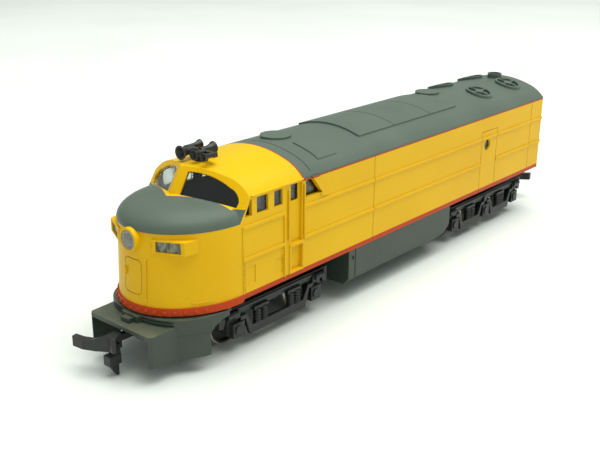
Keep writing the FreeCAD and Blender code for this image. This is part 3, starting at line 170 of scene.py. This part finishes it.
class Look:
    """One procedural material, with short ways to add nodes to it. Lengths are in millimetres."""

    def __init__(self, name, roughness=0.4, metallic=0.0, coat=0.0):
        self.material = bpy.data.materials.new(name)
        self.material.use_nodes = True
        self.tree = self.material.node_tree
        self.shader = self.tree.nodes["Principled BSDF"]
        self.set("Roughness", roughness)
        self.set("Metallic", metallic)
        self.set("Coat Weight", coat)
        where = self.add("TexCoord").outputs["Object"]
        scaled = self.add("VectorMath", {0: where, "Scale": 1 / MM}, operation="SCALE")
        self.place = scaled.outputs[0]
        parts = self.add("SeparateXYZ", {0: self.place})
        self.x, self.y, self.z = parts.outputs

    def add(self, kind, inputs=None, **settings):
        node = self.tree.nodes.new("ShaderNode" + kind)
        for key, value in settings.items():
            setattr(node, key, value)
        for key, value in (inputs or {}).items():
            if isinstance(value, bpy.types.NodeSocket):
                self.tree.links.new(value, node.inputs[key])
            else:
                node.inputs[key].default_value = value
        return node

    def set(self, socket, value):
        if isinstance(value, bpy.types.NodeSocket):
            self.tree.links.new(value, self.shader.inputs[socket])
        else:
            self.shader.inputs[socket].default_value = value

    def math(self, operation, *values):
        return self.add("Math", dict(enumerate(values)), operation=operation).outputs[0]

    def square(self, value):
        return self.math("POWER", value, 2.0)

    def waves(self, value, pitch):
        """Sine waves from -1 to 1 along a value, a pitch apart."""
        return self.math("SINE", self.math("MULTIPLY", value, 2 * math.pi / pitch))

    def unit(self, waves):
        """Waves from -1 to 1 brought to 0 to 1."""
        return self.spread(waves, 0.0, 1.0, -1, 1)

    def above(self, value, limit):
        return self.math("GREATER_THAN", value, limit)

    def below(self, value, limit):
        return self.math("LESS_THAN", value, limit)

    def both(self, *masks):
        result = masks[0]
        for mask in masks[1:]:
            result = self.math("MULTIPLY", result, mask)
        return result

    def either(self, *masks):
        result = masks[0]
        for mask in masks[1:]:
            result = self.math("MAXIMUM", result, mask)
        return result

    def noise(self, size, detail=2.0, stretch=(1, 1, 1)):
        """Noise from 0 to 1 with features about size across, stretched along each axis."""
        vector = self.place
        if stretch != (1, 1, 1):
            squeeze = [1 / share for share in stretch]
            squeezed = self.add("VectorMath", {0: vector, 1: squeeze}, operation="MULTIPLY")
            vector = squeezed.outputs[0]
        inputs = {"Vector": vector, "Scale": 1 / size, "Detail": detail}
        return self.add("TexNoise", inputs).outputs["Fac"]

    def spread(self, value, low, high, start=0.0, end=1.0):
        inputs = {"Value": value, "From Min": start, "From Max": end, "To Min": low, "To Max": high}
        return self.add("MapRange", inputs).outputs["Result"]

    def mix(self, share, first, second, blend="MIX"):
        node = self.add("Mix", data_type="RGBA", blend_type=blend)
        for index, value in ((0, share), (6, first), (7, second)):
            if isinstance(value, bpy.types.NodeSocket):
                self.tree.links.new(value, node.inputs[index])
            else:
                node.inputs[index].default_value = value
        return node.outputs[2]

    def soft_edges(self, radius):
        """Normals that round every edge by a radius."""
        return self.add("Bevel", {"Radius": radius * MM}, samples=4).outputs["Normal"]

    def edge_wear_and_highlight(self, rounded):
        """Mask that is 1 on sharp edges and 0 on flats, for paler edges that are part worn surface,
        part painted highlight.
        """
        true = self.add("NewGeometry").outputs["Normal"]
        match = self.add("VectorMath", {0: rounded, 1: true}, operation="DOT_PRODUCT")
        return self.spread(match.outputs["Value"], 1.0, 0.0, 0.86, 0.995)

    def relief(self, normal, *layers):
        """Adds bump layers (height, depth) over a normal and links the result to the shader."""
        for height, depth in layers:
            inputs = {"Height": height, "Distance": depth * MM, "Strength": 1.0}
            if normal is not None:
                inputs["Normal"] = normal
            normal = self.add("Bump", inputs).outputs["Normal"]
        self.set("Normal", normal)


# ---- materials ------------------------------------------------------------------------
def body_paint():
    """Painted shell: yellow body, grey roof and hood, red stripes; near-black painted shade over
    the unpainted inner faces, and paler edges that are part worn paint, part painted highlight.
    """
    look = Look("painted_body_shell", coat=0.03)
    look.set("Coat Roughness", 0.25)
    look.set("Specular IOR Level", 0.14)
    x, y, z = look.x, look.y, look.z
    beside = look.math("ABSOLUTE", y)

    # Distance in front of the nearer windshield plane.
    ahead = look.math("SUBTRACT", x, WINDSHIELD_FOOT[0])
    ahead = look.math("MULTIPLY", ahead, WINDSHIELD_NORMAL[0])
    ahead = look.math("MULTIPLY_ADD", beside, WINDSHIELD_NORMAL[1], ahead)
    rise = look.math("SUBTRACT", z, WINDSHIELD_FOOT[1])
    ahead = look.math("MULTIPLY_ADD", rise, WINDSHIELD_NORMAL[2], ahead)

    # The hood's grey starts just ahead of the windshield, and runs back further low on the sides.
    # The headlight's housing stays yellow where it rises into the hood.
    low_side = look.both(look.above(beside, LOW_SIDE[0]), look.below(z, LOW_SIDE[1]))
    start = look.math("MULTIPLY_ADD", low_side, LOW_SIDE_SHIFT, HOOD_START)
    hood = look.both(look.above(z, BELT_Z + PAINT_LAP), look.above(ahead, start))
    lamp_rise = look.square(look.math("SUBTRACT", z, HEADLIGHT_Z))
    lamp_span = look.math("ADD", look.square(beside), lamp_rise)
    lamp = look.both(look.below(lamp_span, HEADLIGHT_R ** 2), look.above(x, HEADLIGHT_X))
    hood = look.both(hood, look.math("SUBTRACT", 1.0, lamp))
    ahead_of_rear = look.above(x, REAR_X + END_LAP)
    behind_cab = look.both(look.below(x, CAB_PAINT_X), ahead_of_rear)
    roof = look.both(behind_cab, look.above(z, ROOF_PAINT_Z))
    stripe = look.both(
        look.below(x, CAB_PAINT_X + STRIPE_WIDTH),
        ahead_of_rear,
        look.above(z, ROOF_PAINT_Z - STRIPE_HEIGHT),
    )
    band = look.below(z, BAND_TOP_Z + PAINT_LAP)

    # Inner surfaces lie within the side walls and under the roof, and either behind the windshield
    # or under the hood.
    length = look.math("SUBTRACT", z, SILL_Z)
    length = look.math("MULTIPLY_ADD", length, -NOSE_TAPER, NOSE_LENGTH - SKIN_DEPTH)
    length = look.math("MAXIMUM", length, NOSE_LENGTH - NOSE_SHRINK - SKIN_DEPTH)
    forward = look.math("MAXIMUM", look.math("SUBTRACT", x, NOSE_CENTRE_X), 0.0)
    forward = look.square(look.math("DIVIDE", forward, length))
    aside = look.square(look.math("DIVIDE", beside, INNER_HALF))
    plan = look.math("ADD", forward, aside)
    arch = look.math("MINIMUM", look.math("DIVIDE", beside, ARCH_HALF), 1.0)
    arch = look.math("SUBTRACT", 1.0, look.math("POWER", arch, ARCH_POWER))
    arch = look.math("MULTIPLY_ADD", look.math("POWER", arch, ARCH_ROOT), ARCH_RISE, ARCH_FOOT_Z)
    dome = look.math("DIVIDE", look.math("SUBTRACT", z, BELT_Z), HOOD_INNER_RISE)
    dome = look.math("POWER", look.math("MAXIMUM", dome, 0.0), HOOD_POWER)
    dome = look.math("ADD", dome, look.math("POWER", plan, HOOD_POWER / 2))
    cabin = look.either(
        look.below(ahead, GLASS_DEPTH), look.below(dome, 1.0), look.below(z, BELT_Z - 0.3),
    )
    # Inner faces get a near-black painted shade for the dim interior of the shell.
    inside_shade_mask = look.both(
        look.below(plan, 1.0),
        look.below(z, arch),
        cabin,
        look.above(x, REAR_X + SKIN_DEPTH),
        look.above(z, SILL_Z - END_LAP),
    )

    broad = look.noise(24, 3)
    fine = look.noise(0.35, 2)
    rounded = look.soft_edges(0.28)
    # Paler edges in every colour: part worn paint, part a painted highlight.
    wear_and_highlight = look.edge_wear_and_highlight(rounded)

    cloud = look.spread(broad, 0.0, 1.0, 0.3, 0.7)
    yellow = look.mix(cloud, linear(*YELLOW), linear(*YELLOW_DEEP))
    yellow = look.mix(look.math("MULTIPLY", wear_and_highlight, 0.35), yellow, linear(*YELLOW_WORN_HIGHLIGHT))
    grey = look.mix(cloud, linear(*ROOF_GREY), linear(*ROOF_GREY_DEEP))
    grey = look.mix(look.math("MULTIPLY", wear_and_highlight, 0.30), grey, linear(*ROOF_GREY_WORN_HIGHLIGHT))
    red = look.mix(look.math("MULTIPLY", wear_and_highlight, 0.45), linear(*BAND_RED), linear(*BAND_RED_WORN_HIGHLIGHT))

    colour = look.mix(stripe, yellow, linear(*STRIPE_RED))
    colour = look.mix(look.either(roof, hood), colour, grey)
    colour = look.mix(band, colour, red)
    # Near-black painted shade over the inner faces.
    colour = look.mix(inside_shade_mask, colour, linear(*INSIDE_PAINTED_SHADE))
    look.set("Base Color", colour)
    look.set("Roughness", look.spread(look.noise(3.0, 4), 0.34, 0.46))
    look.relief(rounded, (fine, 0.004), (look.noise(2.4, 2), 0.02))
    return look.material


def moulded_plastic(name, colour, lighter, roughness, dust_and_top_light=0.0):
    """Satin moulded plastic: cloudy tone, fine grain, paler edges that are part worn plastic, part
    painted highlight, and paler top faces that are part dusting, part painted top light.
    """
    look = Look(name)
    rounded = look.soft_edges(0.15)
    wear_and_highlight = look.edge_wear_and_highlight(rounded)
    cloud = look.spread(look.noise(9, 4), 0.0, 0.6, 0.35, 0.7)
    tone = look.mix(cloud, linear(*colour), linear(*lighter))
    # Paler edges: part worn plastic, part a painted highlight.
    worn = [min(255, channel + WORN_HIGHLIGHT_LIFT) for channel in lighter]
    tone = look.mix(look.math("MULTIPLY", wear_and_highlight, 0.3), tone, linear(*worn))
    # Up-facing faces turn towards a pale tone: part a dusting, part a painted top light.
    facing = look.add("SeparateXYZ", {0: look.add("NewGeometry").outputs["Normal"]}).outputs[2]
    top_dust_and_light = look.spread(look.noise(5, 4), 0.6, 1.0, 0.35, 0.65)
    top_dust_and_light = look.math("MULTIPLY", look.spread(facing, 0.0, dust_and_top_light, 0.75, 1.0), top_dust_and_light)
    look.set("Base Color", look.mix(top_dust_and_light, tone, linear(*DUST_AND_TOP_LIGHT)))
    look.set("Roughness", look.spread(look.noise(1.6, 4), roughness - 0.07, roughness + 0.08))
    look.relief(rounded, (look.noise(0.3, 2), 0.006), (look.noise(4, 2), 0.02))
    return look.material


def clear_plastic(name, tint, roughness):
    """Clear moulding with faint flow marks and fine scratches."""
    look = Look(name)
    look.set("Base Color", linear(*tint))
    look.set("Transmission Weight", 1.0)
    look.set("IOR", 1.49)
    scratches = look.noise(0.5, 5, stretch=(6, 1, 1))
    look.set("Roughness", look.spread(scratches, roughness, roughness + 0.12, 0.45, 0.8))
    look.relief(None, (look.noise(5, 1), 0.05))
    return look.material


def metal(name, colour, lighter, roughness, lines=(1, 1, 1)):
    """Bare metal with fine tool lines, small pits and slight tarnish."""
    look = Look(name, metallic=1.0)
    rounded = look.soft_edges(0.08)
    tarnish = look.spread(look.noise(2.2, 5), 0.0, 1.0, 0.35, 0.7)
    look.set("Base Color", look.mix(tarnish, linear(*lighter), linear(*colour)))
    look.set("Roughness", look.spread(look.noise(0.8, 4), roughness - 0.08, roughness + 0.14))
    tool_lines = look.noise(0.25, 3, stretch=lines)
    look.relief(rounded, (tool_lines, 0.006), (look.noise(0.6, 2), 0.004))
    return look.material


def wheel_metal():
    """Blackened wheel faces with a polished tread and flange."""
    look = Look("blackened_wheel_metal", metallic=1.0)
    share = look.add("TexCoord").outputs["Generated"]
    centred = look.add("VectorMath", {0: share, 1: (0.5, 0.5, 0.5)}, operation="SUBTRACT")
    centred = centred.outputs[0]
    parts = look.add("SeparateXYZ", {0: centred}).outputs
    radius = look.math("SQRT", look.math("ADD", look.square(parts[0]), look.square(parts[2])))
    ragged = look.math("MULTIPLY_ADD", look.noise(0.7, 3), 0.03, radius)
    worn = look.spread(ragged, 0.0, 1.0, 0.405, 0.435)
    turning = {"Vector": centred, "Scale": 30.0, "Distortion": 0.6}
    rings = look.add("TexWave", turning, wave_type="RINGS", rings_direction="Y").outputs["Fac"]
    look.set("Base Color", look.mix(worn, linear(30, 29, 28), linear(176, 172, 162)))
    look.set("Metallic", look.spread(worn, 0.55, 1.0))
    look.set("Roughness", look.spread(worn, 0.48, 0.24))
    look.relief(look.soft_edges(0.1), (rings, 0.004), (look.noise(0.4, 3), 0.004))
    return look.material


def layered_core():
    """Laminated steel: thin sheets stacked along the shaft."""
    look = Look("laminated_core_steel", metallic=1.0, roughness=0.42)
    sheets = look.unit(look.waves(look.y, 0.45))
    look.set("Base Color", look.mix(sheets, linear(96, 94, 92), linear(150, 148, 144)))
    look.relief(look.soft_edges(0.06), (sheets, 0.04), (look.noise(0.6, 3), 0.01))
    return look.material


def wound_wire():
    """Enamelled copper wire lying turn beside turn, with painted shade in the grooves between turns
    and painted highlight on their crests.
    """
    look = Look("enamelled_copper_wire", metallic=0.85, roughness=0.3, coat=0.6)
    # Dark grooves between turns are painted shade, bright crests a painted highlight.
    turns = look.waves(look.y, 2 * WIRE_R)
    other = look.waves(look.math("ADD", look.x, look.z), 2 * WIRE_R)
    strand_shade_and_highlight = look.unit(look.math("MAXIMUM", turns, other))
    look.set("Base Color", look.mix(strand_shade_and_highlight, linear(96, 38, 18), linear(206, 106, 56)))
    look.relief(None, (strand_shade_and_highlight, 0.09))
    return look.material


def dull_mineral(name, colour, lighter, roughness):
    """Sintered ferrite or pressed carbon: matt, dark and finely grained."""
    look = Look(name)
    grain = look.noise(0.18, 4)
    look.set("Base Color", look.mix(grain, linear(*colour), linear(*lighter)))
    look.set("Roughness", look.spread(look.noise(1.2, 3), roughness - 0.08, roughness + 0.08))
    look.relief(look.soft_edges(0.08), (grain, 0.02))
    return look.material


def ridged_lens():
    """Clear headlight lens with moulded rings round its middle."""
    look = Look("ridged_headlight_lens")
    look.set("Base Color", linear(236, 238, 228))
    look.set("Transmission Weight", 0.82)
    look.set("IOR", 1.49)
    look.set("Roughness", look.spread(look.noise(0.5, 4), 0.10, 0.24))
    rise = look.square(look.math("SUBTRACT", look.z, HEADLIGHT_Z))
    radius = look.math("SQRT", look.math("ADD", look.square(look.y), rise))
    rings = look.unit(look.waves(radius, 0.58))
    look.relief(look.soft_edges(0.1), (rings, 0.12))
    return look.material


def smoked_lens():
    """Blank number-board lens: smoky translucent plastic, cloudy and slightly streaked."""
    look = Look("smoked_number_lens", coat=0.3)
    cloud = look.spread(look.noise(1.1, 3, stretch=(1, 1, 3)), 0.0, 1.0, 0.42, 0.62)
    look.set("Base Color", look.mix(cloud, linear(66, 66, 52), linear(150, 148, 120)))
    look.set("Transmission Weight", 0.25)
    look.set("Roughness", look.spread(look.noise(0.6, 4), 0.16, 0.34))
    look.relief(look.soft_edges(0.12), (look.noise(1.5, 2), 0.03))
    return look.material


def paper_floor():
    """Plain white sheet with the faintest tone and tooth."""
    look = Look("white_sheet", roughness=0.9)
    tone = look.spread(look.noise(120, 2), 0.0, 1.0, 0.35, 0.65)
    look.set("Base Color", look.mix(tone, linear(222, 228, 222), linear(227, 232, 227)))
    look.relief(None, (look.noise(0.8, 2), 0.02))
    return look.material


def materials_by_slot():
    """The material of every slot that the record names."""
    grey = ("moulded_grey_plastic", PLASTIC_GREY, PLASTIC_GREY_PALE, 0.44)
    black = ("moulded_black_plastic", PLASTIC_BLACK, PLASTIC_BLACK_PALE, 0.42)
    zinc = ("bright_zinc_steel", (150, 150, 148), (196, 197, 198), 0.28)
    rolled = ("rolled_ballast_steel", (94, 92, 90), (136, 134, 130), 0.4)
    bronze = ("phosphor_bronze", (150, 96, 56), (206, 150, 96), 0.26)
    brass = ("turned_brass", (176, 138, 62), (222, 186, 104), 0.22)
    return {
        "body_shell": body_paint(),
        "grey_plastic": moulded_plastic(*grey, dust_and_top_light=0.7),
        "black_plastic": moulded_plastic(*black, dust_and_top_light=0.08),
        "clear_plastic": clear_plastic("clear_polystyrene", (232, 238, 236), 0.03),
        "bulb_glass": clear_plastic("bulb_glass", (246, 244, 236), 0.02),
        "steel": metal(*zinc, lines=(1, 1, 5)),
        "ballast_steel": metal(*rolled, lines=(12, 1, 1)),
        "core_steel": layered_core(),
        "magnet": dull_mineral("ferrite_magnet", (40, 39, 40), (62, 60, 60), 0.6),
        "wheel_metal": wheel_metal(),
        "bronze": metal(*bronze, lines=(9, 1, 1)),
        "brass": metal(*brass, lines=(1, 6, 1)),
        "copper_wire": wound_wire(),
        "carbon": dull_mineral("pressed_carbon", (28, 27, 28), (48, 46, 46), 0.5),
        "gear_plastic": moulded_plastic("natural_nylon", (206, 200, 184), (222, 217, 203), 0.38),
    }


def dress_nodes(looks, special):
    """Gives every CAD node the material of its slot, or its own special one."""
    for part in frame["record"]["subparts"]:
        materials = nodes[part["node"]].data.materials
        materials.clear()
        materials.append(special.get(part["node"], looks[part["material_slot"]]))


# ---- wound pieces of the motor ----------------------------------------------------------
def middle(node):
    """Centre of a CAD node's box, in metres."""
    low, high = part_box(node)
    return (Vector(low) + Vector(high)) / 2


def wire_piece(name, paths, radius, look):
    """Round wires along paths of points in metres, as one mesh."""
    curve = bpy.data.curves.new(name, "CURVE")
    curve.dimensions = "3D"
    curve.bevel_depth = radius * MM
    curve.bevel_resolution = 2
    curve.use_fill_caps = True
    for path in paths:
        spline = curve.splines.new("POLY")
        spline.points.add(len(path) - 1)
        for point, place in zip(spline.points, path):
            point.co = (*place, 1.0)
    source = bpy.data.objects.new(name + "_curve", curve)
    mesh = bpy.data.meshes.new_from_object(source)
    bpy.data.objects.remove(source)
    mesh.name = name
    mesh.shade_smooth()
    mesh.materials.append(look)
    piece = bpy.data.objects.new(name, mesh)
    bpy.context.scene.collection.objects.link(piece)
    return piece


def coil_layer(pole, layer, centre):
    """One layer of turns round a pole, climbing outwards along the pole."""
    outward = math.radians(90 + 360 / POLES * pole)
    radial = Vector((math.cos(outward), 0, -math.sin(outward)))
    aside = Vector((math.sin(outward), 0, math.cos(outward)))
    spread = WIRE_R * (1 + 2 * layer) + COIL_GAP
    corner = COIL_CORNER + spread
    half_aside = POLE_HALF + spread - corner
    half_along = POLE_HALF_LENGTH + spread - corner
    path = []
    for step in range(COIL_TURNS * COIL_STEPS + 1):
        turn, place = divmod(step, COIL_STEPS)
        quarter, part = divmod(place, COIL_STEPS // 4)
        angle = (quarter + part / (COIL_STEPS / 4 - 1)) * math.pi / 2
        sign_aside = 1 if quarter in (0, 3) else -1
        sign_along = 1 if quarter in (0, 1) else -1
        across = half_aside * sign_aside + corner * math.cos(angle)
        along = half_along * sign_along + corner * math.sin(angle)
        climb = COIL_START_R + 2 * WIRE_R * (turn + place / COIL_STEPS) * COIL_PITCH
        offset = radial * climb + aside * across + Vector((0, along, 0))
        path.append(centre + offset * MM)
    return path


def armature_coils(look):
    """Three enamelled coils, each wound turn by turn round its pole."""
    centre = middle("armature_core")
    layers = range(COIL_LAYERS)
    paths = [coil_layer(pole, layer, centre) for pole in range(POLES) for layer in layers]
    piece = wire_piece("armature_coils", paths, WIRE_R, look)
    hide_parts("armature_windings")
    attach(piece, "armature")


def brush_coil_springs(look):
    """Two small compression springs that press the brushes inwards."""
    low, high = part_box("brush_springs")
    centre = middle("brush_springs")
    coil_r = (high[2] - low[2]) / 2 - SPRING_WIRE_R * MM
    paths = []
    for way in (1, -1):
        end = high[0] if way > 0 else low[0]
        path = []
        for step in range(SPRING_TURNS * SPRING_STEPS + 1):
            angle = 2 * math.pi * step / SPRING_STEPS
            share = step / (SPRING_TURNS * SPRING_STEPS)
            x = end - way * (SPRING_WIRE_R + (SPRING_LENGTH - 2 * SPRING_WIRE_R) * share) * MM
            y = centre.y + coil_r * math.cos(angle)
            z = centre.z + coil_r * math.sin(angle)
            path.append((x, y, z))
        paths.append(path)
    piece = wire_piece("brush_coil_springs", paths, SPRING_WIRE_R, look)
    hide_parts("brush_springs")
    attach(piece, "rear_truck")


# ---- stage ------------------------------------------------------------------------------
def camera():
    """The eye at the front left, rolled slightly as the real view is."""
    data = bpy.data.cameras.new("camera")
    data.lens = CAMERA_LENS
    data.sensor_width = SENSOR_WIDTH
    data.clip_start, data.clip_end = CLIP
    forward = Vector((
        math.cos(CAMERA_PITCH) * math.cos(CAMERA_YAW),
        math.cos(CAMERA_PITCH) * math.sin(CAMERA_YAW),
        math.sin(CAMERA_PITCH),
    ))
    right = forward.cross(Vector((0, 0, 1))).normalized()
    up = right.cross(forward)
    turn_cos, turn_sin = math.cos(CAMERA_ROLL), math.sin(CAMERA_ROLL)
    rolled_right = right * turn_cos + up * turn_sin
    rolled_up = up * turn_cos - right * turn_sin
    pose = Matrix((rolled_right, rolled_up, -forward)).transposed().to_4x4()
    pose.translation = Vector(CAMERA_PLACE)
    eye = bpy.data.objects.new("camera", data)
    eye.matrix_world = pose
    bpy.context.scene.collection.objects.link(eye)
    bpy.context.scene.camera = eye


def area_light(name, place, target, size, power, colour):
    """A soft rectangular light at a place, turned towards its target."""
    data = bpy.data.lights.new(name, "AREA")
    data.shape = "RECTANGLE"
    data.size, data.size_y = size
    data.energy = power
    data.color = colour
    lamp = bpy.data.objects.new(name, data)
    lamp.location = place
    aim = Vector(target) - Vector(place)
    lamp.rotation_euler = aim.to_track_quat("-Z", "Y").to_euler()
    bpy.context.scene.collection.objects.link(lamp)


def stage():
    """White floor, even sky and the studio lights."""
    mesh = bpy.data.meshes.new("floor")
    signs = ((-1, -1), (1, -1), (1, 1), (-1, 1))
    corners = [(x * FLOOR_HALF, y * FLOOR_HALF, 0) for x, y in signs]
    mesh.from_pydata(corners, [], [(0, 1, 2, 3)])
    mesh.materials.append(paper_floor())
    floor = bpy.data.objects.new("floor", mesh)
    bpy.context.scene.collection.objects.link(floor)
    floor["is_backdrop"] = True

    world = bpy.data.worlds.new("studio")
    world.use_nodes = True
    sky = world.node_tree.nodes["Background"]
    sky.inputs["Color"].default_value = SKY_TINT
    sky.inputs["Strength"].default_value = SKY_STRENGTH
    bpy.context.scene.world = world
    for light in LIGHTS:
        area_light(*light)
    bpy.context.scene.view_settings.view_transform = "Standard"


camera()
stage()
slot_looks = materials_by_slot()
dress_nodes(slot_looks, {"headlight_lens": ridged_lens(), "number_board_lenses": smoked_lens()})
armature_coils(slot_looks["copper_wire"])
brush_coil_springs(slot_looks["bronze"])

sizes = {"cad": cad_box, "visual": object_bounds()}
sizes = {name: [list(corner) for corner in box] for name, box in sizes.items()}
